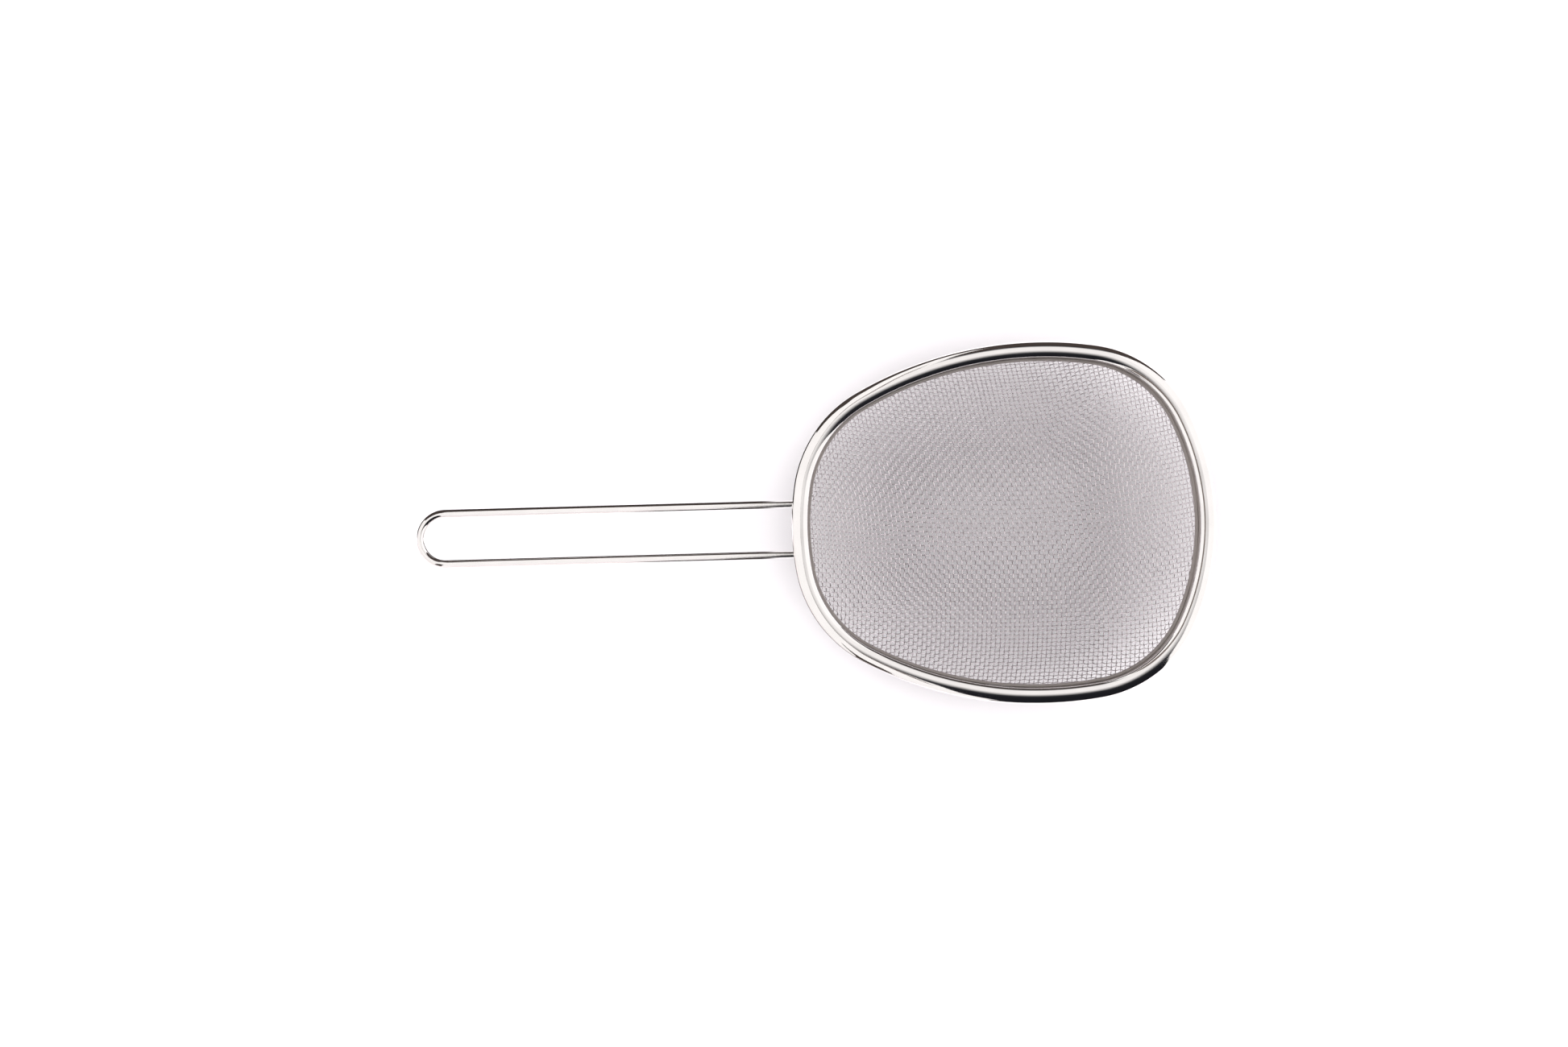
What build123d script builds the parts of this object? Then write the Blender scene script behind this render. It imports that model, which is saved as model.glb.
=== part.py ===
"""Tea strainer: an egg-shaped sheet-metal rim, a woven-wire bowl hung from it and a hairpin wire handle.

Millimetres, +Z up. The origin is the middle of the rim, on the plane where the rim's underside rests on a
cup. +X runs along the length of the strainer, away from the handle, and +Y runs across it.
"""
from build123d import *
from math import asin, atan2, cos, degrees, hypot, radians, sin, sqrt
import os

# ---- rim outline, a chain of tangent arcs that is symmetric about the X axis ----
RIM_LENGTH = 90.8  # along X, from the handle side to the far end
RIM_WIDTH = 77.6  # across Y, at the widest place
WIDEST_X = 7.9  # the widest place lies a little beyond the middle
NOSE_RADIUS = 56.0  # the blunt side that carries the handle
SHOULDER_RADIUS = 27.5  # between that side and the long sides
SIDE_RADIUS = 80.5  # the long sides
CORNER_RADIUS = 26.5  # between the long sides and the far end
END_RADIUS = 53.7  # the far end

# ---- rim section, given as insets from the outermost line of the rim and as heights ----
SHEET = 0.35  # thickness of the rim's sheet
RIM_WIDTH_ACROSS = 3.4  # from the outermost line to the upright inner face
CREST_INSET = 1.85  # the rim's highest line
CREST_RADIUS = 5.2  # the rim's top is a low dome
EDGE_RADIUS = 0.85  # the outer edge, which is turned under
EDGE_STOP = 300.0  # degrees, where that edge stops under the rim
BEND_RADIUS = 0.4  # between the dome and the upright wall
RIM_BOTTOM = -4.4  # lower edge of the upright wall
CLAMP_TOP = -2.6
CLAMP_WIDTH = 0.63
CLAMP_FILLET = 0.12
CLAMP_UNDERSIDE_SLOPE = 0.65  # the underside falls inwards a little less steeply than the cloth below it
FIT_GAP = 0.02  # clearance between pieces that are pressed together

# ---- woven bowl ----
CLOTH_THICKNESS = 0.52  # two wires of the cloth, one over the other
BOWL_DEPTH = 17.0  # from the cloth's edge to the deepest point
EDGE_STEEPENING = 0.2  # how much steeper the wall is at the cloth's edge than a paraboloid's would be
DEEPEST_X = 8.5  # the deepest point lies beyond the middle too
CLOTH_EDGE_Z = -3.2  # upper side of the cloth where it meets the rim's wall
PATCH_MARGIN = 2.0  # the surface is drawn this much past the cloth's edge, then trimmed
PATCH_STEP = 2.5  # spacing of the points that the surface is drawn through
PRISM_MARGIN = 2.5  # the prism that trims the cloth reaches this much below and above it

# ---- handle ----
HANDLE_WIRE_DIAMETER = 1.6
HANDLE_LENGTH = 80.4  # what stands out of the rim
HANDLE_WIDTH = 12.4  # over both legs of the hairpin
LEG_END_INSET = 3.0  # the legs run under the turned edge up to the rim's wall
WELD_INSET = 3.2  # the weld metal reaches the wall all round the leg's end
WELD_LENGTH = 1.5
WELD_RADIUS = 1.2
WELD_CROWN = 1.08  # radius half way along

NOSE_X = -RIM_LENGTH / 2
END_X = RIM_LENGTH / 2
BEARING_SLACK = 1e-6  # degrees, so that a ray through the joint of two arcs finds one of them


def tangent_centre(first, first_radius, second, second_radius, radius):
    """Centre of the arc of the given radius that touches two larger arcs from inside, above the X axis."""
    first_reach = first_radius - radius
    second_reach = second_radius - radius
    apart = hypot(second[0] - first[0], second[1] - first[1])
    along = (first_reach**2 - second_reach**2 + apart**2) / (2 * apart)
    across = sqrt(first_reach**2 - along**2)
    ux = (second[0] - first[0]) / apart
    uy = (second[1] - first[1]) / apart
    left = (first[0] + along * ux - across * uy, first[1] + along * uy + across * ux)
    right = (first[0] + along * ux + across * uy, first[1] + along * uy - across * ux)
    return max(left, right, key=lambda centre: centre[1])


def bearing(start, target):
    """Direction from one point to another, in degrees from +X."""
    return degrees(atan2(target[1] - start[1], target[0] - start[0]))


NOSE_CENTRE = (NOSE_X + NOSE_RADIUS, 0.0)
SIDE_CENTRE = (WIDEST_X, RIM_WIDTH / 2 - SIDE_RADIUS)
END_CENTRE = (END_X - END_RADIUS, 0.0)
SHOULDER_CENTRE = tangent_centre(NOSE_CENTRE, NOSE_RADIUS, SIDE_CENTRE, SIDE_RADIUS, SHOULDER_RADIUS)
CORNER_CENTRE = tangent_centre(SIDE_CENTRE, SIDE_RADIUS, END_CENTRE, END_RADIUS, CORNER_RADIUS)

# Each arc of the upper half: centre, radius, and the bearings where it starts and stops, from nose to end.
NOSE_TO_SHOULDER = bearing(NOSE_CENTRE, SHOULDER_CENTRE)
SHOULDER_TO_SIDE = bearing(SIDE_CENTRE, SHOULDER_CENTRE)
SIDE_TO_CORNER = bearing(SIDE_CENTRE, CORNER_CENTRE)
CORNER_TO_END = bearing(END_CENTRE, CORNER_CENTRE)
HALF_OUTLINE = [
    (NOSE_CENTRE, NOSE_RADIUS, 180.0, NOSE_TO_SHOULDER),
    (SHOULDER_CENTRE, SHOULDER_RADIUS, NOSE_TO_SHOULDER, SHOULDER_TO_SIDE),
    (SIDE_CENTRE, SIDE_RADIUS, SHOULDER_TO_SIDE, SIDE_TO_CORNER),
    (CORNER_CENTRE, CORNER_RADIUS, SIDE_TO_CORNER, CORNER_TO_END),
    (END_CENTRE, END_RADIUS, CORNER_TO_END, 0.0),
]


def half_outline(inset):
    """Upper half of the rim's outline, moved inwards, from the nose to the far end."""
    for centre, radius, start, stop in HALF_OUTLINE:
        CenterArc(centre, radius - inset, start, stop - start)


def outline_reach(origin, direction, inset):
    """Distance from a point inside the outline to the outline, in a direction given in degrees."""
    step_x = cos(radians(direction))
    step_y = abs(sin(radians(direction)))
    for centre, radius, start, stop in HALF_OUTLINE:
        dx = origin[0] - centre[0]
        dy = origin[1] - centre[1]
        toward = dx * step_x + dy * step_y
        under_root = toward**2 - dx**2 - dy**2 + (radius - inset) ** 2
        if under_root < 0:
            continue  # the ray passes beside this circle
        reach = sqrt(under_root) - toward
        hit = bearing(centre, (origin[0] + reach * step_x, origin[1] + reach * step_y))
        if stop - BEARING_SLACK <= hit <= start + BEARING_SLACK:
            return reach
    raise ValueError("the ray leaves the outline between two arcs")


def on_arc(centre, radius, angle):
    """Point on an arc of the rim section."""
    return (centre[0] + radius * cos(radians(angle)), centre[1] + radius * sin(radians(angle)))


def dome_end(reach, turn_radius):
    """Tilt, in degrees, at which the dome meets a tighter turn that ends the given reach from the crest."""
    return degrees(asin((reach - turn_radius) / (CREST_RADIUS - turn_radius)))


# Turned edge, dome and bend, each tangent to the next. The turned edge lies on the plane z = 0.
OUTER_TILT = dome_end(CREST_INSET, EDGE_RADIUS)
INNER_TILT = dome_end(RIM_WIDTH_ACROSS - CREST_INSET, BEND_RADIUS)
EDGE_CENTRE = (NOSE_X + EDGE_RADIUS, EDGE_RADIUS)
DOME_CENTRE = on_arc(EDGE_CENTRE, EDGE_RADIUS - CREST_RADIUS, 90 + OUTER_TILT)
BEND_CENTRE = on_arc(DOME_CENTRE, CREST_RADIUS - BEND_RADIUS, 90 - INNER_TILT)
SECTION_ARCS = [
    (EDGE_CENTRE, EDGE_RADIUS, EDGE_STOP, 90 + OUTER_TILT),
    (DOME_CENTRE, CREST_RADIUS, 90 + OUTER_TILT, 90 - INNER_TILT),
    (BEND_CENTRE, BEND_RADIUS, 90 - INNER_TILT, 0),
]
WALL_X = NOSE_X + RIM_WIDTH_ACROSS
CLOTH_INSET = RIM_WIDTH_ACROSS + FIT_GAP


def sheet_face(depth):
    """The outer face of the section, or a face parallel to it inside the sheet, turned edge first."""
    for centre, radius, start, stop in SECTION_ARCS:
        CenterArc(centre, radius - depth, start, stop - start)
    Line((WALL_X - depth, BEND_CENTRE[1]), (WALL_X - depth, RIM_BOTTOM))


# ---- rim band: one strip of sheet, turned under at the outside and drawn down into an upright wall ----
with BuildPart() as rim_band:
    with BuildLine() as rim_line:
        half_outline(0)
    with BuildSketch(Plane.XZ):
        with BuildLine():
            sheet_face(0)
            sheet_face(SHEET)
            Line(*[on_arc(EDGE_CENTRE, EDGE_RADIUS - depth, EDGE_STOP) for depth in (0, SHEET)])
            Line((WALL_X, RIM_BOTTOM), (WALL_X - SHEET, RIM_BOTTOM))
        make_face()
    sweep(path=rim_line.wire())
    mirror(about=Plane.XZ)

# ---- clamp ring: a narrow ring inside the wall that covers and holds the edge of the cloth ----
with BuildPart() as mesh_clamp_ring:
    with BuildLine() as clamp_line:
        half_outline(0)
    with BuildSketch(Plane.XZ) as clamp_section:
        outer_x = WALL_X + FIT_GAP
        inner_x = outer_x + CLAMP_WIDTH
        with BuildLine():
            Polyline(
                (outer_x, CLAMP_TOP),
                (inner_x, CLAMP_TOP),
                (inner_x, CLOTH_EDGE_Z - CLAMP_WIDTH * CLAMP_UNDERSIDE_SLOPE),
                (outer_x, CLOTH_EDGE_Z + FIT_GAP),
                close=True,
            )
        make_face()
        fillet(clamp_section.vertices().group_by(Axis.Z)[-1], CLAMP_FILLET)
    sweep(path=clamp_line.wire())
    mirror(about=Plane.XZ)


# ---- woven bowl: one shell as thick as the cloth, dished from the deepest point to the outline ----
def cloth_height(x, y):
    """Height of the cloth's upper side."""
    distance = hypot(x - DEEPEST_X, y)
    direction = degrees(atan2(y, x - DEEPEST_X))
    share = distance / outline_reach((DEEPEST_X, 0.0), direction, CLOTH_INSET)
    return CLOTH_EDGE_Z - BOWL_DEPTH * (1 - share**2) * (1 + EDGE_STEEPENING * share**2)


def evenly(low, high, step):
    """Evenly spaced values from low to high, at most a step apart."""
    count = int((high - low) / step) + 1
    return [low + (high - low) * i / count for i in range(count + 1)]


PATCH_X = RIM_LENGTH / 2 - CLOTH_INSET + PATCH_MARGIN
PATCH_Y = RIM_WIDTH / 2 - CLOTH_INSET + PATCH_MARGIN
cloth_patch = Face.make_surface_from_array_of_points(
    [
        [Vector(x, y, cloth_height(x, y)) for y in evenly(-PATCH_Y, PATCH_Y, PATCH_STEP)]
        for x in evenly(-PATCH_X, PATCH_X, PATCH_STEP)
    ]
)
with BuildPart() as mouth_prism:
    with BuildSketch(Plane.XY.offset(CLOTH_EDGE_Z - BOWL_DEPTH - PRISM_MARGIN)):
        with BuildLine():
            half_outline(CLOTH_INSET)
            mirror(about=Plane.XZ)
        make_face()
    extrude(amount=BOWL_DEPTH + 2 * PRISM_MARGIN)

with BuildPart() as mesh_bowl:
    thicken(cloth_patch, amount=CLOTH_THICKNESS, normal_override=(0, 0, -1))
    add(mouth_prism.part, mode=Mode.INTERSECT)

# ---- handle: a hairpin of round wire whose legs run under the turned edge up to the wall ----
LEG_Y = (HANDLE_WIDTH - HANDLE_WIRE_DIAMETER) / 2
LEG_Z = -HANDLE_WIRE_DIAMETER / 2
BEND_X = NOSE_X - HANDLE_LENGTH + HANDLE_WIDTH / 2
NOSE_SAG = NOSE_RADIUS - sqrt(NOSE_RADIUS**2 - LEG_Y**2)  # the rim curves away from the legs by this much
LEG_END_X = NOSE_X + NOSE_SAG + LEG_END_INSET
with BuildPart() as handle_wire:
    with BuildLine(Plane.XY.offset(LEG_Z)) as hairpin:
        Line((LEG_END_X, LEG_Y), (BEND_X, LEG_Y))
        CenterArc((BEND_X, 0), LEG_Y, 90, 180)
        Line((BEND_X, -LEG_Y), (LEG_END_X, -LEG_Y))
    with BuildSketch(Plane((LEG_END_X, LEG_Y, LEG_Z), z_dir=(-1, 0, 0))):
        Circle(HANDLE_WIRE_DIAMETER / 2)
    sweep(path=hairpin.wire())

# ---- welds: a collar of weld metal around the end of each leg, against the wall ----
WELD_X = NOSE_X + NOSE_SAG + WELD_INSET
with BuildPart() as handle_welds:
    with BuildSketch(Plane.XY.offset(LEG_Z)):
        with BuildLine():
            Polyline(
                (WELD_X, LEG_Y),
                (WELD_X, LEG_Y + WELD_RADIUS),
                (WELD_X - WELD_LENGTH / 2, LEG_Y + WELD_CROWN),
                (WELD_X - WELD_LENGTH, LEG_Y + HANDLE_WIRE_DIAMETER / 2),
                (WELD_X - WELD_LENGTH, LEG_Y),
                close=True,
            )
        make_face()
    revolve(axis=Axis((0, LEG_Y, LEG_Z), (1, 0, 0)))
    mirror(about=Plane.XZ)
    add(handle_wire.part, mode=Mode.SUBTRACT)
    add(rim_band.part, mode=Mode.SUBTRACT)

pieces = {
    "rim_band": rim_band,
    "mesh_clamp_ring": mesh_clamp_ring,
    "mesh_bowl": mesh_bowl,
    "handle_wire": handle_wire,
    "handle_welds": handle_welds,
}
os.makedirs("parts", exist_ok=True)
for name, piece in pieces.items():
    piece.part.label = name
    export_step(piece.part, f"parts/{name}.step")
    print(name, len(piece.part.solids()), "solids", round(piece.part.volume, 1), "mm3")
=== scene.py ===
"""Tea strainer: the visual model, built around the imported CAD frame.

Every mesh is laid out in millimetres in the CAD's frame and scaled to metres when it is made. The rim, the
clamp ring, the handle and the welds follow the CAD's own dimensions. The cloth is woven wire by wire: a net of
equal steps is laid over the surface of the CAD's bowl, and each wire runs along it, over one and under the next.
"""

import math

import bpy
import numpy as np
from numpy.polynomial import chebyshev
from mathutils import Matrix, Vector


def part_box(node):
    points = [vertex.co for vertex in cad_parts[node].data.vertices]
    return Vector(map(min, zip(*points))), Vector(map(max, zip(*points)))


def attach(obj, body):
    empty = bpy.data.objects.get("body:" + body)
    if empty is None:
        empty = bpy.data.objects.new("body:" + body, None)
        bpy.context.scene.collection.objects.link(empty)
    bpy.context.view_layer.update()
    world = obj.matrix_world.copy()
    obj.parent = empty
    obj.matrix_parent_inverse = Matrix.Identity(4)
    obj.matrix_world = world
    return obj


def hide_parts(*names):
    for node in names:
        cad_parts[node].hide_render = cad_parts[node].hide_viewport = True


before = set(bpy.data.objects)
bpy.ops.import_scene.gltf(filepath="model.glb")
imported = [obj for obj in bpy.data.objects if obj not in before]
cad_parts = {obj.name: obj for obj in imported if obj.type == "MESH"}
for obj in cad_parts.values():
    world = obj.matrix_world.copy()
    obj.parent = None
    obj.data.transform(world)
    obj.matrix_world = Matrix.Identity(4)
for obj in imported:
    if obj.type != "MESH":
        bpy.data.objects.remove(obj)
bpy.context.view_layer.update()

MM = 0.001

# ---- the CAD's dimensions, in millimetres and degrees ----
RIM_LENGTH = (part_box("rim_band")[1].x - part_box("rim_band")[0].x) / MM
RIM_WIDTH = (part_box("rim_band")[1].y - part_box("rim_band")[0].y) / MM
RIM_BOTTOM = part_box("rim_band")[0].z / MM
WIDEST_X = 7.9
NOSE_RADIUS, SHOULDER_RADIUS, SIDE_RADIUS, CORNER_RADIUS, END_RADIUS = 56.0, 27.5, 80.5, 26.5, 53.7
SHEET = 0.35
WALL_INSET = 3.4
CREST_INSET = 1.85
CREST_RADIUS = 5.2
EDGE_RADIUS, EDGE_STOP = 0.85, 300.0
BEND_RADIUS = 0.4
CLAMP_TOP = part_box("mesh_clamp_ring")[1].z / MM
CLAMP_WIDTH = 0.63
CLAMP_GAP = 0.02
CLOTH_EDGE_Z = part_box("mesh_bowl")[1].z / MM
CLOTH_THICKNESS = 0.52
HANDLE_RADIUS = (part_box("handle_wire")[1].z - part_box("handle_wire")[0].z) / MM / 2
HANDLE_WIDTH = (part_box("handle_wire")[1].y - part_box("handle_wire")[0].y) / MM
HANDLE_END_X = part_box("handle_wire")[0].x / MM
LEG_END_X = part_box("handle_wire")[1].x / MM
FLOOR_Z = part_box("mesh_bowl")[0].z / MM

# ---- weave ----
WIRE_RADIUS = CLOTH_THICKNESS / 4
WEFT_STEP = 1.020  # between neighbouring warp wires, along the weft
WARP_STEP = 1.032  # between neighbouring weft wires, along the warp
NET_CENTRE = (8.5, 0.0)  # the deepest point of the bowl
WEFT_TURN = (-0.0176, 0.1315, 0.0679, 0.0464)  # radians; how the first weft wire turns along x / WEFT_SPAN
WARP_TURN = (0.1038, 0.2093, -0.0864, 0.0837)  # radians; how the first warp wire leans along y / WARP_SPAN
WEFT_SPAN, WARP_SPAN = 40.0, 35.0
NET_REACH = (58, 46)  # steps from the net's centre, along the weft and along the warp
NET_MARGIN = 1.05  # the net is laid a little past the outline, then cut
CUT_INSET = WALL_INSET + 0.12  # wires end under the clamp ring
STEP_SAMPLES = 4  # rings of a wire's tube from one crossing to the next
WIRE_SIDES = 8
WIRE_JITTER = 0.014  # how far a crossing strays from its ideal place
rng = np.random.default_rng(7)


# ---------------------------------------------------------------- outline
def tangent_centre(first, first_radius, second, second_radius, radius):
    """Centre of the arc of the given radius that touches two larger arcs from inside, above the X axis."""
    first_reach = first_radius - radius
    second_reach = second_radius - radius
    apart = math.dist(first, second)
    along = (first_reach**2 - second_reach**2 + apart**2) / (2 * apart)
    across = math.sqrt(first_reach**2 - along**2)
    ux = (second[0] - first[0]) / apart
    uy = (second[1] - first[1]) / apart
    left = (first[0] + along * ux - across * uy, first[1] + along * uy + across * ux)
    right = (first[0] + along * ux + across * uy, first[1] + along * uy - across * ux)
    return max(left, right, key=lambda centre: centre[1])


def bearing(start, target):
    return math.atan2(target[1] - start[1], target[0] - start[0])


NOSE_CENTRE = (-RIM_LENGTH / 2 + NOSE_RADIUS, 0.0)
SIDE_CENTRE = (WIDEST_X, RIM_WIDTH / 2 - SIDE_RADIUS)
END_CENTRE = (RIM_LENGTH / 2 - END_RADIUS, 0.0)
SHOULDER_CENTRE = tangent_centre(NOSE_CENTRE, NOSE_RADIUS, SIDE_CENTRE, SIDE_RADIUS, SHOULDER_RADIUS)
CORNER_CENTRE = tangent_centre(SIDE_CENTRE, SIDE_RADIUS, END_CENTRE, END_RADIUS, CORNER_RADIUS)
HALF_OUTLINE = [
    (END_CENTRE, END_RADIUS, 0.0, bearing(END_CENTRE, CORNER_CENTRE)),
    (CORNER_CENTRE, CORNER_RADIUS, bearing(END_CENTRE, CORNER_CENTRE), bearing(SIDE_CENTRE, CORNER_CENTRE)),
    (SIDE_CENTRE, SIDE_RADIUS, bearing(SIDE_CENTRE, CORNER_CENTRE), bearing(SIDE_CENTRE, SHOULDER_CENTRE)),
    (SHOULDER_CENTRE, SHOULDER_RADIUS, bearing(SIDE_CENTRE, SHOULDER_CENTRE), bearing(NOSE_CENTRE, SHOULDER_CENTRE)),
    (NOSE_CENTRE, NOSE_RADIUS, bearing(NOSE_CENTRE, SHOULDER_CENTRE), math.pi),
]


def outline(count):
    """Points of the whole outline and their outward directions, evenly spaced, counterclockwise from the end."""
    lower = [
        ((centre[0], -centre[1]), radius, 2 * math.pi - stop, 2 * math.pi - start)
        for centre, radius, start, stop in reversed(HALF_OUTLINE)
    ]
    arcs = HALF_OUTLINE + lower
    ends = np.cumsum([0] + [radius * (stop - start) for _, radius, start, stop in arcs])
    travel = ends[-1] * np.arange(count) / count
    which = np.searchsorted(ends, travel, side="right") - 1
    points = np.empty((count, 2))
    angles = np.empty(count)
    for k, (centre, radius, start, _) in enumerate(arcs):
        here = which == k
        angles[here] = start + (travel[here] - ends[k]) / radius
        points[here, 0] = centre[0] + radius * np.cos(angles[here])
        points[here, 1] = centre[1] + radius * np.sin(angles[here])
    return points, np.column_stack([np.cos(angles), np.sin(angles)]), ends[-1]


# ---------------------------------------------------------------- meshes
def make_piece(name, vertices, faces, replaced, uv=None):
    """A smooth mesh from millimetre vertices, riding on the strainer's one body. uv is given corner by corner."""
    mesh = bpy.data.meshes.new(name)
    vertices = np.asarray(vertices, float) * MM
    counts = np.array([len(face) for face in faces])
    corners = np.concatenate(faces)
    mesh.vertices.add(len(vertices))
    mesh.vertices.foreach_set("co", vertices.ravel())
    mesh.loops.add(len(corners))
    mesh.loops.foreach_set("vertex_index", corners.astype(np.int32))
    mesh.polygons.add(len(counts))
    mesh.polygons.foreach_set("loop_start", (np.cumsum(counts) - counts).astype(np.int32))
    mesh.polygons.foreach_set("loop_total", counts.astype(np.int32))
    mesh.polygons.foreach_set("use_smooth", np.ones(len(counts), bool))
    if uv is not None:
        layer = mesh.uv_layers.new(name="UVMap")
        layer.data.foreach_set("uv", np.asarray(uv, np.float32).ravel())
    mesh.update(calc_edges=True)
    mesh.validate()
    piece = bpy.data.objects.new(name, mesh)
    bpy.context.scene.collection.objects.link(piece)
    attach(piece, "root")
    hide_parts(replaced)
    return piece


def grid_faces(rows, columns, close_rows, close_columns):
    """Quads of a grid of vertices, numbered row by row."""
    row = np.arange(rows if close_rows else rows - 1)
    column = np.arange(columns if close_columns else columns - 1)
    r, c = np.meshgrid(row, column, indexing="ij")
    r2 = (r + 1) % rows
    c2 = (c + 1) % columns
    return np.stack([r * columns + c, r * columns + c2, r2 * columns + c2, r2 * columns + c], -1).reshape(-1, 4)


def arc(centre, radius, start, stop, steps):
    """Points of an arc of a section, in degrees, without its last point."""
    angle = np.radians(start + (stop - start) * np.arange(steps) / steps)
    return np.column_stack([centre[0] + radius * np.cos(angle), centre[1] + radius * np.sin(angle)])


def on_arc(centre, radius, angle):
    return (centre[0] + radius * math.cos(math.radians(angle)), centre[1] + radius * math.sin(math.radians(angle)))


def sweep_round(name, section, replaced, stations, wobble=None):
    """A closed section, as insets and heights, carried once round the outline."""
    points, outward, length = outline(stations)
    inset = section[None, :, 0] + (wobble[0][:, None] if wobble else 0)
    height = section[None, :, 1] + (wobble[1][:, None] if wobble else 0)
    x = points[:, None, 0] - inset * outward[:, None, 0]
    y = points[:, None, 1] - inset * outward[:, None, 1]
    vertices = np.stack([x, y, np.broadcast_to(height, x.shape)], -1).reshape(-1, 3)
    faces = grid_faces(stations, len(section), True, True)
    across = np.r_[0, np.cumsum(np.hypot(*(np.roll(section, -1, 0) - section).T))]
    along = (faces[:, :1] // len(section) + np.array([0, 0, 1, 1])) * length / stations
    uv = np.stack([along, across[faces[:, :1] % len(section) + np.array([0, 1, 1, 0])]], -1)
    return make_piece(name, vertices, faces, replaced, uv)


def slow_noise(count, waves, size):
    """A smooth closed wander: a sum of the first few waves round the rim."""
    angle = 2 * np.pi * np.arange(count) / count
    total = np.zeros(count)
    for wave in range(2, waves):
        total += rng.normal() * np.cos(wave * angle + rng.uniform(0, 2 * np.pi)) / math.sqrt(waves)
    return size * total


# ---------------------------------------------------------------- rim band
def dome_end(reach, turn_radius):
    """Tilt, in degrees, at which the dome meets a tighter turn that ends the given reach from the crest."""
    return math.degrees(math.asin((reach - turn_radius) / (CREST_RADIUS - turn_radius)))


OUTER_TILT = dome_end(CREST_INSET, EDGE_RADIUS)
INNER_TILT = dome_end(WALL_INSET - CREST_INSET, BEND_RADIUS)
EDGE_CENTRE = (EDGE_RADIUS, EDGE_RADIUS)
DOME_CENTRE = on_arc(EDGE_CENTRE, EDGE_RADIUS - CREST_RADIUS, 90 + OUTER_TILT)
BEND_CENTRE = on_arc(DOME_CENTRE, CREST_RADIUS - BEND_RADIUS, 90 - INNER_TILT)
SECTION_ARCS = [
    (EDGE_CENTRE, EDGE_RADIUS, EDGE_STOP, 90 + OUTER_TILT, 28),
    (DOME_CENTRE, CREST_RADIUS, 90 + OUTER_TILT, 90 - INNER_TILT, 22),
    (BEND_CENTRE, BEND_RADIUS, 90 - INNER_TILT, 0, 10),
]
WALL_ROWS = 8
half = SHEET / 2
wall_drop = np.linspace(BEND_CENTRE[1], RIM_BOTTOM + half, WALL_ROWS + 1)[:-1]
rim_section = np.vstack(
    [arc(on_arc(EDGE_CENTRE, EDGE_RADIUS - half, EDGE_STOP), half, EDGE_STOP + 180, EDGE_STOP, 6)]
    + [arc(*section_arc) for section_arc in SECTION_ARCS]
    + [
        np.column_stack([np.full(WALL_ROWS, WALL_INSET), wall_drop]),
        arc((WALL_INSET - half, RIM_BOTTOM + half), half, 0, -180, 8),
        np.column_stack([np.full(WALL_ROWS, WALL_INSET - SHEET), wall_drop[::-1]]),
    ]
    + [
        arc(centre, radius - SHEET, stop, start, max(steps // 2, 4))
        for centre, radius, start, stop, steps in reversed(SECTION_ARCS)
    ]
)
RIM_STATIONS = 720
WOBBLE_WAVES = 24
WOBBLE_ACROSS, WOBBLE_UP = 0.012, 0.010  # a pressed sheet isn't quite true; it wanders inwards and down
rim = sweep_round(
    "rim_sheet",
    rim_section,
    "rim_band",
    RIM_STATIONS,
    (
        WOBBLE_ACROSS + slow_noise(RIM_STATIONS, WOBBLE_WAVES, WOBBLE_ACROSS),
        slow_noise(RIM_STATIONS, WOBBLE_WAVES, WOBBLE_UP) - WOBBLE_UP,
    ),
)

# ---------------------------------------------------------------- clamp ring
clamp_outer = WALL_INSET + CLAMP_GAP
clamp_inner = clamp_outer + CLAMP_WIDTH
clamp_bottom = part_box("mesh_clamp_ring")[0].z / MM
ROUNDING = 0.1
clamp_section = np.vstack(
    [
        [(clamp_outer, CLOTH_EDGE_Z + CLAMP_GAP)],
        arc((clamp_outer + ROUNDING, CLAMP_TOP - ROUNDING), ROUNDING, 180, 90, 5),
        arc((clamp_inner - ROUNDING, CLAMP_TOP - ROUNDING), ROUNDING, 90, 0, 5),
        [(clamp_inner, CLAMP_TOP - ROUNDING), (clamp_inner, clamp_bottom)],
    ]
)
clamp = sweep_round("clamp_ring", clamp_section, "mesh_clamp_ring", RIM_STATIONS)


# ---------------------------------------------------------------- the bowl's surface
def bowl_surface():
    """The CAD bowl's upper side as one smooth polynomial in x and y, with its two slopes."""
    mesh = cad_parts["mesh_bowl"].data
    points = np.empty(len(mesh.vertices) * 3)
    mesh.vertices.foreach_get("co", points)
    points = points.reshape(-1, 3) / MM
    facing = np.empty(len(mesh.polygons) * 3)
    mesh.polygons.foreach_get("normal", facing)
    facing = facing.reshape(-1, 3)
    upper = np.zeros(len(points), bool)
    for polygon, normal in zip(mesh.polygons, facing):
        if normal[2] > FACING_UP:
            upper[list(polygon.vertices)] = True
    x, y, z = points[upper].T
    # the shape is its own mirror image, so both halves fit together
    x, y, z = np.r_[x, x], np.r_[y, -y], np.r_[z, z]
    terms = chebyshev.chebvander2d(x / SPAN, y / SPAN, SURFACE_DEGREE)
    ridge = SMOOTHING * np.eye(terms.shape[1])
    fitted = np.linalg.solve(terms.T @ terms + ridge, terms.T @ z)
    fitted = fitted.reshape(SURFACE_DEGREE[0] + 1, SURFACE_DEGREE[1] + 1)
    return fitted, chebyshev.chebder(fitted, axis=0) / SPAN, chebyshev.chebder(fitted, axis=1) / SPAN


SPAN = 48.0  # the polynomial's variables are x and y over this
SURFACE_DEGREE = (12, 12)
SMOOTHING = 1e-7
FACING_UP = 0.3  # the upper side's normals have more than this in Z, the edge's and the underside's less
HEIGHT, SLOPE_X, SLOPE_Y = bowl_surface()


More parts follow.
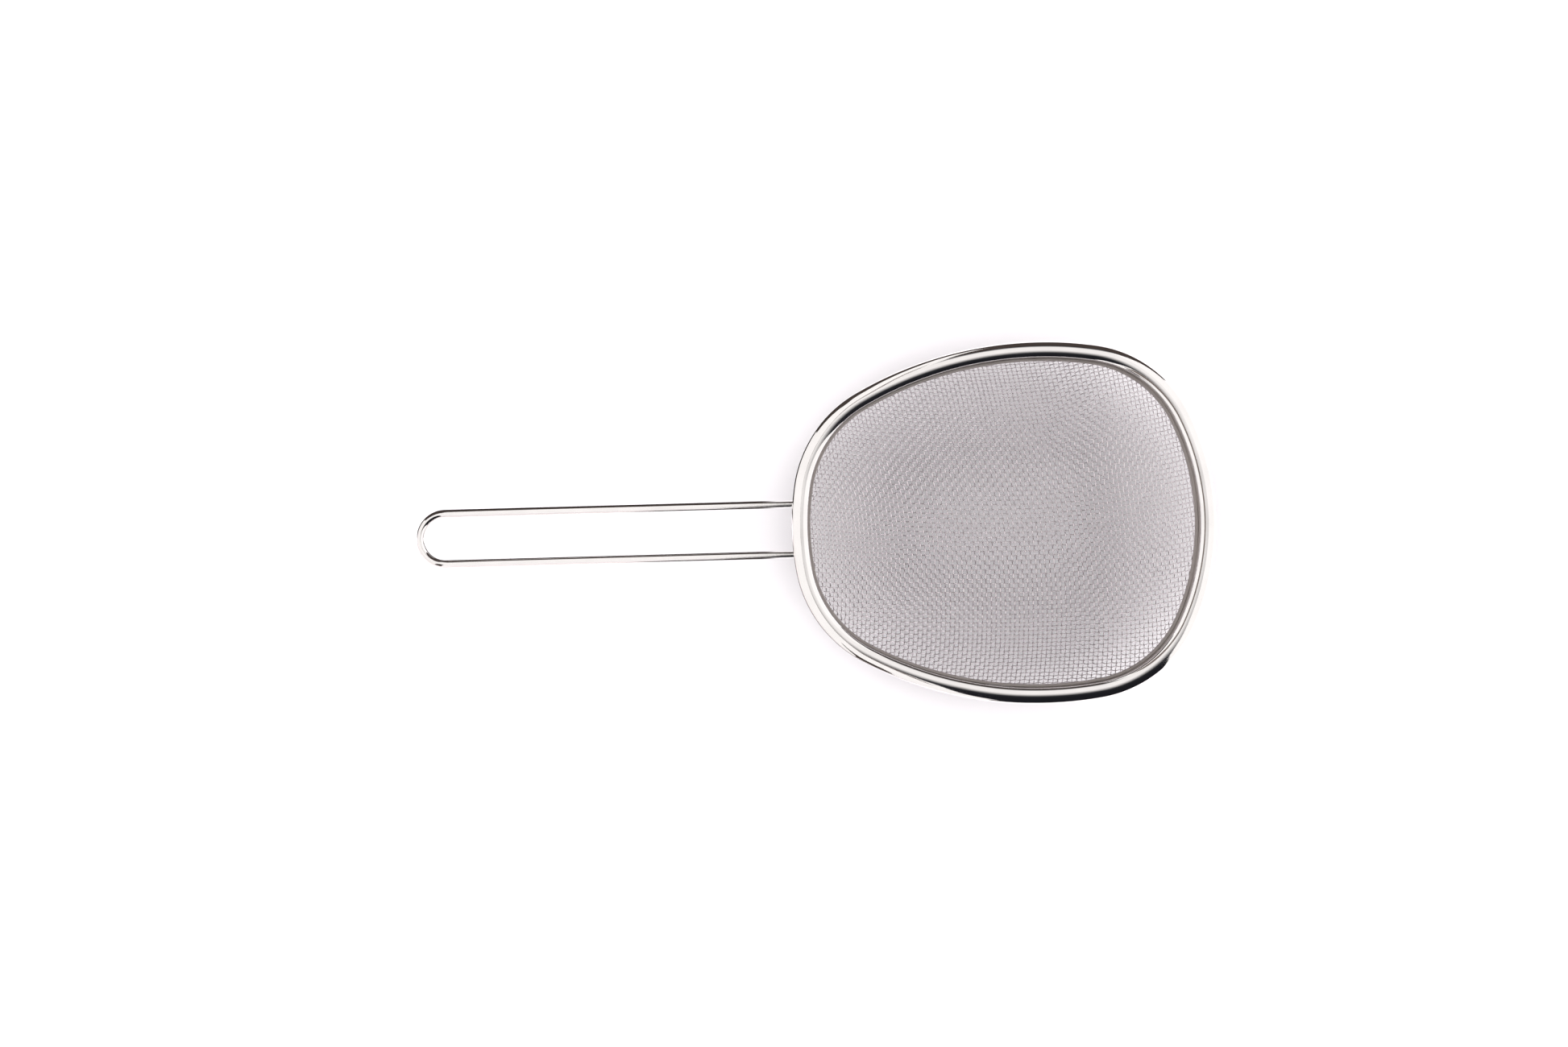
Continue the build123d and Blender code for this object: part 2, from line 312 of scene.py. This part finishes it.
def on_bowl(x, y):
    """Height and the two slopes of the bowl's upper side."""
    return tuple(chebyshev.chebval2d(x / SPAN, y / SPAN, table) for table in (HEIGHT, SLOPE_X, SLOPE_Y))


CUT_POINTS = 2000
rim_points, rim_outward, _ = outline(CUT_POINTS)
cut = rim_points - CUT_INSET * rim_outward - np.array(NET_CENTRE)
cut_angle = np.arctan2(cut[:, 1], cut[:, 0])
cut_order = np.argsort(cut_angle)
cut_angle, cut_reach = cut_angle[cut_order], np.hypot(cut[:, 0], cut[:, 1])[cut_order]


def share_out(x, y):
    """How far out a point lies: 0 at the net's centre, 1 where the cloth is cut."""
    dx, dy = x - NET_CENTRE[0], y - NET_CENTRE[1]
    return np.hypot(dx, dy) / np.interp(np.arctan2(dy, dx), cut_angle, cut_reach, period=2 * np.pi)


# ---------------------------------------------------------------- the net
def first_wire(steps, step, direction):
    """Marches over the bowl in equal steps. direction gives the heading, in radians, at a place."""
    x, y = NET_CENTRE
    places = [(x, y)]
    for _ in range(steps):
        half_x, half_y = x, y
        for share in (0.5, 1.0):
            heading = direction(half_x, half_y)
            ux, uy = math.cos(heading), math.sin(heading)
            _, slope_x, slope_y = on_bowl(half_x, half_y)
            length = step / math.sqrt(1 + (slope_x * ux + slope_y * uy) ** 2)
            half_x, half_y = x + share * length * ux, y + share * length * uy
        x, y = half_x, half_y
        places.append((x, y))
    return np.array(places)


def turn(coefficients, share):
    return sum(value * share**power for power, value in enumerate(coefficients))


def lay_net():
    """Crossings of the cloth: every neighbour lies one step away over the surface, as in cloth that shears."""
    n, m = NET_REACH
    net = np.full((2 * n + 1, 2 * m + 1, 2), np.nan)
    weft = lambda x, y: turn(WEFT_TURN, x / WEFT_SPAN)
    warp = lambda x, y: math.pi / 2 + turn(WARP_TURN, y / WARP_SPAN)
    net[n:, m] = first_wire(n, WEFT_STEP, weft)
    net[: n + 1, m] = first_wire(n, WEFT_STEP, lambda x, y: weft(x, y) + math.pi)[::-1]
    net[n, m:] = first_wire(m, WARP_STEP, warp)
    net[n, : m + 1] = first_wire(m, WARP_STEP, lambda x, y: warp(x, y) + math.pi)[::-1]
    for way_x in (1, -1):
        for way_y in (1, -1):
            for diagonal in range(2, n + m + 1):
                i = np.arange(max(1, diagonal - m), min(n, diagonal - 1) + 1)
                column, row = n + way_x * i, m + way_y * (diagonal - i)
                beside, below = net[column - way_x, row], net[column, row - way_y]
                guess = beside + below - net[column - way_x, row - way_y]
                known = np.isfinite(guess).all(1)
                known[known] = share_out(*guess[known].T) < NET_MARGIN
                if known.any():
                    net[column[known], row[known]] = crossing(beside[known], below[known], guess[known])
    return net


NEWTON_STEPS = 5


def crossing(beside, below, place):
    """Newton's steps to the point of the surface that lies one step from both neighbours."""
    beside_z, below_z = on_bowl(*beside.T)[0], on_bowl(*below.T)[0]
    for _ in range(NEWTON_STEPS):
        z, slope_x, slope_y = on_bowl(*place.T)
        a, b = place - beside, place - below
        miss_a = (a**2).sum(1) + (z - beside_z) ** 2 - WEFT_STEP**2
        miss_b = (b**2).sum(1) + (z - below_z) ** 2 - WARP_STEP**2
        a_x, a_y = 2 * (a[:, 0] + (z - beside_z) * slope_x), 2 * (a[:, 1] + (z - beside_z) * slope_y)
        b_x, b_y = 2 * (b[:, 0] + (z - below_z) * slope_x), 2 * (b[:, 1] + (z - below_z) * slope_y)
        scale = a_x * b_y - a_y * b_x
        place = place - np.column_stack(
            [(miss_a * b_y - miss_b * a_y) / scale, (a_x * miss_b - b_x * miss_a) / scale]
        )
    return place


net = lay_net()
net = net + rng.normal(0, WIRE_JITTER, net.shape)


# ---------------------------------------------------------------- wires
def smooth_between(points):
    """Catmull-Rom points from crossing to crossing, STEP_SAMPLES to a step, with their places along the wire."""
    padded = np.vstack([2 * points[0] - points[1], points, 2 * points[-1] - points[-2]])
    t = np.arange(STEP_SAMPLES) / STEP_SAMPLES
    p0, p1, p2, p3 = (padded[k : len(padded) - 3 + k, None, :] for k in range(4))
    t = t[None, :, None]
    curve = 0.5 * (
        2 * p1 + (p2 - p0) * t + (2 * p0 - 5 * p1 + 4 * p2 - p3) * t**2 + (3 * p1 - p0 - 3 * p2 + p3) * t**3
    )
    curve = np.vstack([curve.reshape(-1, points.shape[1]), points[-1:]])
    return curve, np.arange(len(curve)) / STEP_SAMPLES


def cut_to_outline(curve, along):
    """The part of a wire inside the cut, ending exactly on it."""
    share = share_out(*curve.T)
    inside = np.flatnonzero(share < 1)
    if len(inside) < 2:
        return None, None
    first, last = inside[0], inside[-1]
    if first == 0 or last == len(curve) - 1:
        raise ValueError("the net doesn't reach past the cut")
    k = (1 - share[first - 1]) / (share[first] - share[first - 1])
    start = curve[first - 1] + k * (curve[first] - curve[first - 1])
    start_along = along[first - 1] + k * (along[first] - along[first - 1])
    k = (1 - share[last]) / (share[last + 1] - share[last])
    stop = curve[last] + k * (curve[last + 1] - curve[last])
    stop_along = along[last] + k * (along[last + 1] - along[last])
    return (
        np.vstack([start, curve[first : last + 1], stop]),
        np.r_[start_along, along[first : last + 1], stop_along],
    )


def wire_tube(points, over):
    """Ring vertices of one wire. over is 1 where the wire is on top, -1 where it is below."""
    z, slope_x, slope_y = on_bowl(*points.T)
    up = np.column_stack([-slope_x, -slope_y, np.ones(len(z))])
    up /= np.linalg.norm(up, axis=1, keepdims=True)
    centre = np.column_stack([points, z]) + up * (WIRE_RADIUS * over - CLOTH_THICKNESS / 2)[:, None]
    ahead = np.gradient(centre, axis=0)
    ahead /= np.linalg.norm(ahead, axis=1, keepdims=True)
    side = np.cross(ahead, up)
    side /= np.linalg.norm(side, axis=1, keepdims=True)
    top = np.cross(side, ahead)
    angle = 2 * np.pi * np.arange(WIRE_SIDES) / WIRE_SIDES
    ring = side[:, None] * np.cos(angle)[None, :, None] + top[:, None] * np.sin(angle)[None, :, None]
    return centre[:, None] + WIRE_RADIUS * ring


def weave(name, wires):
    """One piece from the wires given as (crossings, phase)."""
    vertices, quads, caps = [], [], []
    count = 0
    for crossings, phase in wires:
        curve, along = smooth_between(crossings)
        curve, along = cut_to_outline(curve, along)
        if curve is None:
            continue
        tube = wire_tube(curve, np.cos(np.pi * (along + phase)))
        rings = len(tube)
        vertices.append(tube.reshape(-1, 3))
        quads.append(count + grid_faces(rings, WIRE_SIDES, False, True))
        caps.append(count + np.arange(WIRE_SIDES)[::-1])
        caps.append(count + (rings - 1) * WIRE_SIDES + np.arange(WIRE_SIDES))
        count += rings * WIRE_SIDES
    faces = list(np.vstack(quads)) + caps
    return make_piece(name, np.vstack(vertices), faces, "mesh_bowl")


FEWEST_CROSSINGS = 4  # a wire with fewer, at the edge of the cloth, is left out


def wires_along(axis):
    """Every wire that runs along the given axis of the net, as its known crossings and the phase of its weave."""
    found = []
    for k in range(net.shape[1 - axis]):
        line = net[:, k] if axis == 0 else net[k]
        known = np.flatnonzero(np.isfinite(line[:, 0]))
        if len(known) < FEWEST_CROSSINGS or not (share_out(*line[known].T) < 1).any():
            continue
        found.append((line[known[0] : known[-1] + 1], known[0] + k + axis))
    return found


cloth = []
for title, axis, parts in (
    ("weft_wires", 0, ("right", "middle", "left")),
    ("warp_wires", 1, ("near", "middle", "far")),
):
    wires = wires_along(axis)
    lengths = np.cumsum([len(crossings) for crossings, _ in wires])
    for k, part in enumerate(parts):
        low, high = lengths[-1] * k / len(parts), lengths[-1] * (k + 1) / len(parts)
        group = [wire for wire, end in zip(wires, lengths) if low < end <= high]
        cloth.append(weave(f"{title}_{part}", group))


# ---------------------------------------------------------------- handle
HANDLE_SIDES = 40
LEG_Y = HANDLE_WIDTH / 2 - HANDLE_RADIUS
LEG_Z = (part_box("handle_wire")[0].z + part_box("handle_wire")[1].z) / MM / 2
BEND_X = HANDLE_END_X + HANDLE_RADIUS + LEG_Y
LEG_RINGS, BEND_RINGS = 150, 61
leg = np.linspace(LEG_END_X, BEND_X, LEG_RINGS)[:-1]
bend = np.radians(np.linspace(90, 270, BEND_RINGS))
hairpin = np.vstack(
    [
        np.column_stack([leg, np.full(len(leg), LEG_Y)]),
        np.column_stack([BEND_X + LEG_Y * np.cos(bend), LEG_Y * np.sin(bend)]),
        np.column_stack([leg[::-1], np.full(len(leg), -LEG_Y)]),
    ]
)


def flat_tube(path, height, radius, sides):
    """Ring vertices of a round wire whose centre line lies level."""
    ahead = np.gradient(path, axis=0)
    ahead /= np.linalg.norm(ahead, axis=1, keepdims=True)
    side = np.column_stack([-ahead[:, 1], ahead[:, 0]])
    angle = 2 * np.pi * np.arange(sides) / sides
    reach = radius * np.cos(angle)
    x = path[:, None, 0] + side[:, None, 0] * reach
    y = path[:, None, 1] + side[:, None, 1] * reach
    z = np.broadcast_to(height + radius * np.sin(angle), x.shape)
    return np.stack([x, y, z], -1)


tube = flat_tube(hairpin, LEG_Z, HANDLE_RADIUS, HANDLE_SIDES)
rings = len(tube)
side_faces = grid_faces(rings, HANDLE_SIDES, False, True)
travel = np.r_[0, np.cumsum(np.hypot(*np.diff(hairpin, axis=0).T))]
handle_uv = np.stack(
    [
        travel[side_faces[:, :1] // HANDLE_SIDES + np.array([0, 0, 1, 1])],
        (side_faces[:, :1] % HANDLE_SIDES + np.array([0, 1, 1, 0])) * 2 * np.pi * HANDLE_RADIUS / HANDLE_SIDES,
    ],
    -1,
)[:, ::-1].reshape(-1, 2)
handle_uv = np.vstack([handle_uv, np.zeros((2 * HANDLE_SIDES, 2))])
handle_faces = list(side_faces[:, ::-1])
handle_faces.append(np.arange(HANDLE_SIDES))
handle_faces.append((rings - 1) * HANDLE_SIDES + np.arange(HANDLE_SIDES)[::-1])
handle = make_piece(
    "handle_hairpin", tube.reshape(-1, 3), handle_faces, "handle_wire", handle_uv
)


# ---------------------------------------------------------------- materials
class Tree:
    """Short names for making the nodes of a material or of the world."""

    def __init__(self, tree):
        self.nodes, self.links = tree.nodes, tree.links

    def feed(self, socket, value):
        if isinstance(value, bpy.types.NodeSocket):
            self.links.new(value, socket)
        elif isinstance(value, tuple):
            socket.default_value = (*value, 1)
        else:
            socket.default_value = value

    def maths(self, operation, first, second=0.0):
        node = self.nodes.new("ShaderNodeMath")
        node.operation = operation
        self.feed(node.inputs[0], first)
        self.feed(node.inputs[1], second)
        return node.outputs["Value"]

    def step(self, value, start, stop):
        """0 where the value is at the start, 1 where it is at the stop, with a soft change between."""
        node = self.nodes.new("ShaderNodeMapRange")
        node.interpolation_type = "SMOOTHSTEP"
        self.feed(node.inputs["From Min"], start)
        self.feed(node.inputs["From Max"], stop)
        self.feed(node.inputs["Value"], value)
        return node.outputs["Result"]

    def mixed(self, factor, first, second):
        node = self.nodes.new("ShaderNodeMix")
        node.data_type = "RGBA"
        for socket, value in ((0, factor), (6, first), (7, second)):
            self.feed(node.inputs[socket], value)
        return node.outputs[2]


def new_material(name):
    material = bpy.data.materials.new(name)
    material.use_nodes = True
    nodes, links = material.node_tree.nodes, material.node_tree.links
    shader = nodes["Principled BSDF"]
    place = nodes.new("ShaderNodeTexCoord")
    return material, nodes, links, shader, place.outputs["Object"]


def noise(nodes, links, vector, scale, detail=3.0, roughness=0.5, stretch=None):
    if stretch:
        mapping = nodes.new("ShaderNodeMapping")
        mapping.inputs["Scale"].default_value = stretch
        links.new(vector, mapping.inputs["Vector"])
        vector = mapping.outputs["Vector"]
    texture = nodes.new("ShaderNodeTexNoise")
    texture.inputs["Scale"].default_value = scale
    texture.inputs["Detail"].default_value = detail
    texture.inputs["Roughness"].default_value = roughness
    links.new(vector, texture.inputs["Vector"])
    return texture.outputs["Fac"]


NOISE_RANGE = (0.3, 0.7)  # nearly all of a noise texture's values lie between these


def ramp(nodes, links, value, dark, light):
    node = nodes.new("ShaderNodeValToRGB")
    for element, position, colour in zip(node.color_ramp.elements, NOISE_RANGE, (dark, light)):
        element.position = position
        element.color = (*colour, 1)
    links.new(value, node.inputs["Fac"])
    return node.outputs["Color"]


def spread(nodes, links, value, low, high):
    node = nodes.new("ShaderNodeMapRange")
    node.inputs["From Min"].default_value, node.inputs["From Max"].default_value = NOISE_RANGE
    node.inputs["To Min"].default_value = low
    node.inputs["To Max"].default_value = high
    links.new(value, node.inputs["Value"])
    return node.outputs["Result"]


def bump(nodes, links, value, distance, strength, shader):
    node = nodes.new("ShaderNodeBump")
    node.inputs["Distance"].default_value = distance
    node.inputs["Strength"].default_value = strength
    links.new(value, node.inputs["Height"])
    links.new(node.outputs["Normal"], shader.inputs["Normal"])


RELIEF_DETAIL, RELIEF_STRENGTH = 4.0, 0.5


def steel(name, dark, light, roughness, patches, relief):
    """Stainless steel. Colour and roughness wander in patches; relief is (depth in metres, noise scale)."""
    material, nodes, links, shader, place = new_material(name)
    shader.inputs["Metallic"].default_value = 1.0
    broad = noise(nodes, links, place, patches)
    links.new(ramp(nodes, links, broad, dark, light), shader.inputs["Base Color"])
    links.new(spread(nodes, links, broad, *roughness), shader.inputs["Roughness"])
    depth, fineness = relief
    fine = noise(nodes, links, place, fineness, RELIEF_DETAIL)
    bump(nodes, links, fine, depth, RELIEF_STRENGTH, shader)
    return material


STREAK_DEPTH, STREAK_STRENGTH = 0.000002, 0.5
STREAK_DETAIL, STREAK_CONTRAST = 4.0, 0.6


def streaks(material, stretch):
    """Fine lines along a piece, drawn in its UV map, which is in millimetres: along first, across second."""
    tree = Tree(material.node_tree)
    shader = tree.nodes["Principled BSDF"]
    place = tree.nodes.new("ShaderNodeTexCoord")
    fine = noise(tree.nodes, tree.links, place.outputs["UV"], 1.0, STREAK_DETAIL, STREAK_CONTRAST, stretch)
    node = tree.nodes.new("ShaderNodeBump")
    node.inputs["Distance"].default_value = STREAK_DEPTH
    node.inputs["Strength"].default_value = STREAK_STRENGTH
    tree.links.new(fine, node.inputs["Height"])
    tree.links.new(shader.inputs["Normal"].links[0].from_socket, node.inputs["Normal"])
    tree.links.new(node.outputs["Normal"], shader.inputs["Normal"])


rim_steel = steel(
    "rim_steel",
    dark=(0.90, 0.885, 0.875),
    light=(0.96, 0.945, 0.935),
    roughness=(0.035, 0.055),
    patches=160,
    relief=(0.000002, 1500),
)
streaks(rim_steel, (0.05, 6.0, 1.0))
# The clamp ring's steel is much darker and browner than the rim's. This is painted shade standing in for the dark
# the flat lip mirrors from overhead.
clamp_steel = steel(
    "clamp_steel",
    dark=(0.40, 0.365, 0.35),
    light=(0.47, 0.43, 0.415),
    roughness=(0.42, 0.55),
    patches=260,
    relief=(0.00002, 2500),
)
cloth_steel = steel(
    "cloth_steel",
    dark=(0.80, 0.765, 0.785),
    light=(0.90, 0.865, 0.885),
    roughness=(0.15, 0.25),
    patches=500,
    relief=(0.000004, 6000),
)
handle_steel = steel(
    "handle_steel",
    dark=(0.88, 0.865, 0.855),
    light=(0.95, 0.935, 0.925),
    roughness=(0.05, 0.09),
    patches=160,
    relief=(0.000003, 2200),
)
streaks(handle_steel, (0.06, 5.0, 1.0))
weld_steel = steel(
    "weld_steel",
    dark=(0.30, 0.26, 0.24),
    light=(0.55, 0.52, 0.49),
    roughness=(0.3, 0.5),
    patches=900,
    relief=(0.00008, 1500),
)
for pieces, material in (
    ([rim], rim_steel),
    ([clamp], clamp_steel),
    (cloth, cloth_steel),
    ([handle], handle_steel),
    ([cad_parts["handle_welds"]], weld_steel),
):
    for piece in pieces:
        piece.data.materials.clear()
        piece.data.materials.append(material)


# ---------------------------------------------------------------- floor, light and camera, all in metres
FLOOR_SIZE = 4.0
FLOOR_GAP = 1.5 * MM  # below the bowl; it lets light spread under the deepest wires
FLOOR_COLOUR = (0.255, 0.246, 0.252)
# the floor's colour under the bowl: a painted shade, darker than the rest of the floor
FLOOR_PAINTED_SHADE = (0.176, 0.168, 0.173)
FLOOR_MIRRORED = (0.009, 0.0075, 0.007)
FLOOR_MIRRORED_FAR = (0.200, 0.182, 0.182)
# where each change of the floor's colour starts and where it is complete
HANDLE_ZONE_X, HANDLE_ZONE_Y = (-0.048, -0.052), (0.0040, 0.0050)
FAR_SIDE_X, FAR_SIDE_Y = (-0.074, -0.086), (-0.0054, -0.0062)
PAINTED_SHADE_REACH = (0.0460, 0.0385)  # along X and Y, of the oval painted shade under the bowl
PAINTED_SHADE_EDGE = (1.30, 0.60)  # squared share of that reach


def lay_floor():
    """A pale floor with a painted shade under the bowl. Around the handle its mirror image is dark, as the wire's
    edges are.
    """
    bpy.ops.mesh.primitive_plane_add(size=FLOOR_SIZE, location=(0, 0, FLOOR_Z * MM - FLOOR_GAP))
    floor = bpy.context.object
    floor.name = "floor"
    material, nodes, links, shader, place = new_material("floor_white")
    tree = Tree(material.node_tree)
    split = nodes.new("ShaderNodeSeparateXYZ")
    links.new(place, split.inputs["Vector"])
    x, y = split.outputs["X"], split.outputs["Y"]

    off_middle = tree.step(tree.maths("ABSOLUTE", y), *HANDLE_ZONE_Y)
    around_handle = tree.maths("MULTIPLY", tree.step(x, *HANDLE_ZONE_X), off_middle)
    light_path = nodes.new("ShaderNodeLightPath")
    dark = tree.maths("MULTIPLY", around_handle, light_path.outputs["Is Glossy Ray"])
    # the -Y side of the handle's far half mirrors a light floor again
    far_side = tree.maths("MULTIPLY", tree.step(x, *FAR_SIDE_X), tree.step(y, *FAR_SIDE_Y))
    mirrored = tree.mixed(far_side, FLOOR_MIRRORED, FLOOR_MIRRORED_FAR)

    # painted shade: an oval under the bowl where the floor's colour turns darker, for the shade the bowl casts
    along = tree.maths("POWER", tree.maths("DIVIDE", x, PAINTED_SHADE_REACH[0]), 2.0)
    across = tree.maths("POWER", tree.maths("DIVIDE", y, PAINTED_SHADE_REACH[1]), 2.0)
    under = tree.step(tree.maths("ADD", across, along), *PAINTED_SHADE_EDGE)
    pale = tree.mixed(under, FLOOR_COLOUR, FLOOR_PAINTED_SHADE)
    links.new(tree.mixed(dark, pale, mirrored), shader.inputs["Base Color"])
    shader.inputs["Roughness"].default_value = 0.6
    shader.inputs["Specular IOR Level"].default_value = 0.0
    floor.data.materials.append(material)


lay_floor()

lamp_data = bpy.data.lights.new("overhead", "AREA")
lamp_data.shape = "SQUARE"
lamp_data.size = 2.4
lamp_data.energy = 165.0
lamp = bpy.data.objects.new("overhead", lamp_data)
lamp.location = (0.0, 0.0, 1.1)
lamp.visible_camera = False
lamp.visible_glossy = False  # it lights the floor; the steel mirrors the cards instead
bpy.context.scene.collection.objects.link(lamp)

ROOM_COLOUR = (0.060, 0.047, 0.042)


def light_world():
    """The room far off: nearly dark in mirrored light, white to the camera."""
    world = bpy.data.worlds.new("studio")
    bpy.context.scene.world = world
    world.use_nodes = True
    tree = Tree(world.node_tree)
    seen = tree.nodes.new("ShaderNodeLightPath")
    shade = tree.mixed(seen.outputs["Is Camera Ray"], ROOM_COLOUR, (1.0, 1.0, 1.0))
    tree.links.new(shade, tree.nodes["Background"].inputs["Color"])


light_world()


def hang_card(name, corners, colour, dark=None, front=None, back=None):
    """A glowing card that only the steel mirrors.

    With a dark colour given, it fades to that across Y: front and back say where each fade starts and is done.
    """
    mesh = bpy.data.meshes.new(name)
    mesh.from_pydata(corners, [], [tuple(range(len(corners)))])
    card = bpy.data.objects.new(name, mesh)
    bpy.context.scene.collection.objects.link(card)
    material = bpy.data.materials.new(name)
    material.use_nodes = True
    tree = Tree(material.node_tree)
    tree.nodes.remove(tree.nodes["Principled BSDF"])
    glow = tree.nodes.new("ShaderNodeEmission")
    glow.inputs["Color"].default_value = (*colour, 1)
    if dark:
        place = tree.nodes.new("ShaderNodeTexCoord")
        split = tree.nodes.new("ShaderNodeSeparateXYZ")
        tree.links.new(place.outputs["Object"], split.inputs["Vector"])
        across = split.outputs["Y"]
        lit = tree.maths("MULTIPLY", tree.step(across, *front), tree.step(across, *back))
        tree.links.new(tree.mixed(lit, dark, colour), glow.inputs["Color"])
    tree.links.new(glow.outputs["Emission"], tree.nodes["Material Output"].inputs["Surface"])
    mesh.materials.append(material)
    card.visible_camera = False
    card.visible_diffuse = False
    card.visible_shadow = False


# The light above ends short of -Y over the bowl and reaches further out over the handle.
CARD_HEIGHT = 1.32
CARD_FOOT = -0.02
END_CARD_DROP = 0.01  # keeps it clear of the overhead card
hang_card(
    "overhead_card",
    [(x, y, CARD_HEIGHT) for x, y in ((-0.05, -0.37), (1.6, -0.37), (1.6, 0.57), (-0.05, 0.57))],
    (0.97, 0.94, 0.93),
    dark=(0.02, 0.02, 0.024),
    front=(-0.27, 0.10),
    back=(0.54, 0.36),
)
hang_card(
    "handle_card",
    [
        (x, y, CARD_HEIGHT)
        for x, y in (
            (-0.05, 1.45),
            (-0.30, 1.45),
            (-0.30, 0.50),
            (-1.4, 1.05),
            (-1.4, -2.3),
            (-0.37, -0.45),
            (-0.36, -3.0),
            (-0.11, -3.0),
            (-0.075, -1.3),
            (-0.05, -0.5),
        )
    ],
    (1.05, 1.02, 1.01),
)
hang_card(
    "side_card",
    [
        (x, -0.9, z)
        for x, z in ((-0.36, CARD_FOOT), (-0.078, CARD_FOOT), (-0.078, CARD_HEIGHT), (-0.36, CARD_HEIGHT))
    ],
    (1.03, 1.00, 1.00),
)
hang_card(
    "card_behind_handle",
    [(-1.4, y, z) for y, z in ((-2.3, CARD_FOOT), (1.05, CARD_FOOT), (1.05, CARD_HEIGHT), (-2.3, CARD_HEIGHT))],
    (1.02, 0.99, 0.98),
)
hang_card(
    "card_beyond_end",
    [(1.4, y, z) for y, z in ((-1.45, CARD_FOOT), (1.2, CARD_FOOT), (1.2, CARD_HEIGHT), (-1.45, CARD_HEIGHT))],
    (1.22, 1.19, 1.19),
)
hang_card(
    "end_card",
    [
        (x, y, CARD_HEIGHT - END_CARD_DROP)
        for x, y in ((0.27, -0.10), (1.4, -1.45), (1.4, 1.2), (0.27, 0.45))
    ],
    (1.08, 1.05, 1.04),
)
hang_card(
    "front_card",
    [
        (-0.05, -0.37, CARD_HEIGHT),
        (0.5, -0.37, CARD_HEIGHT),
        (1.8, -1.9, CARD_FOOT),
        (-0.078, -1.9, CARD_FOOT),
    ],
    (0.012, 0.012, 0.015),
)
# A dark blade over the handle's root, edge-on from the near side of the rim.
hang_card(
    "dark_blade",
    [(-0.05, y, z) for y, z in ((-0.25, 0.5), (0.25, 0.5), (0.25, 1.25), (-0.25, 1.25))],
    (0.20, 0.165, 0.15),
)

camera_data = bpy.data.cameras.new("camera")
camera = bpy.data.objects.new("camera", camera_data)
bpy.context.scene.collection.objects.link(camera)
camera_data.sensor_width = 36.0
camera_data.lens = 72.15
camera.location = (-0.0470, 0.0013, 0.6725)
camera.rotation_euler = (0, 0, math.radians(-1.55))
bpy.context.scene.camera = camera
bpy.context.scene.view_settings.view_transform = "Standard"
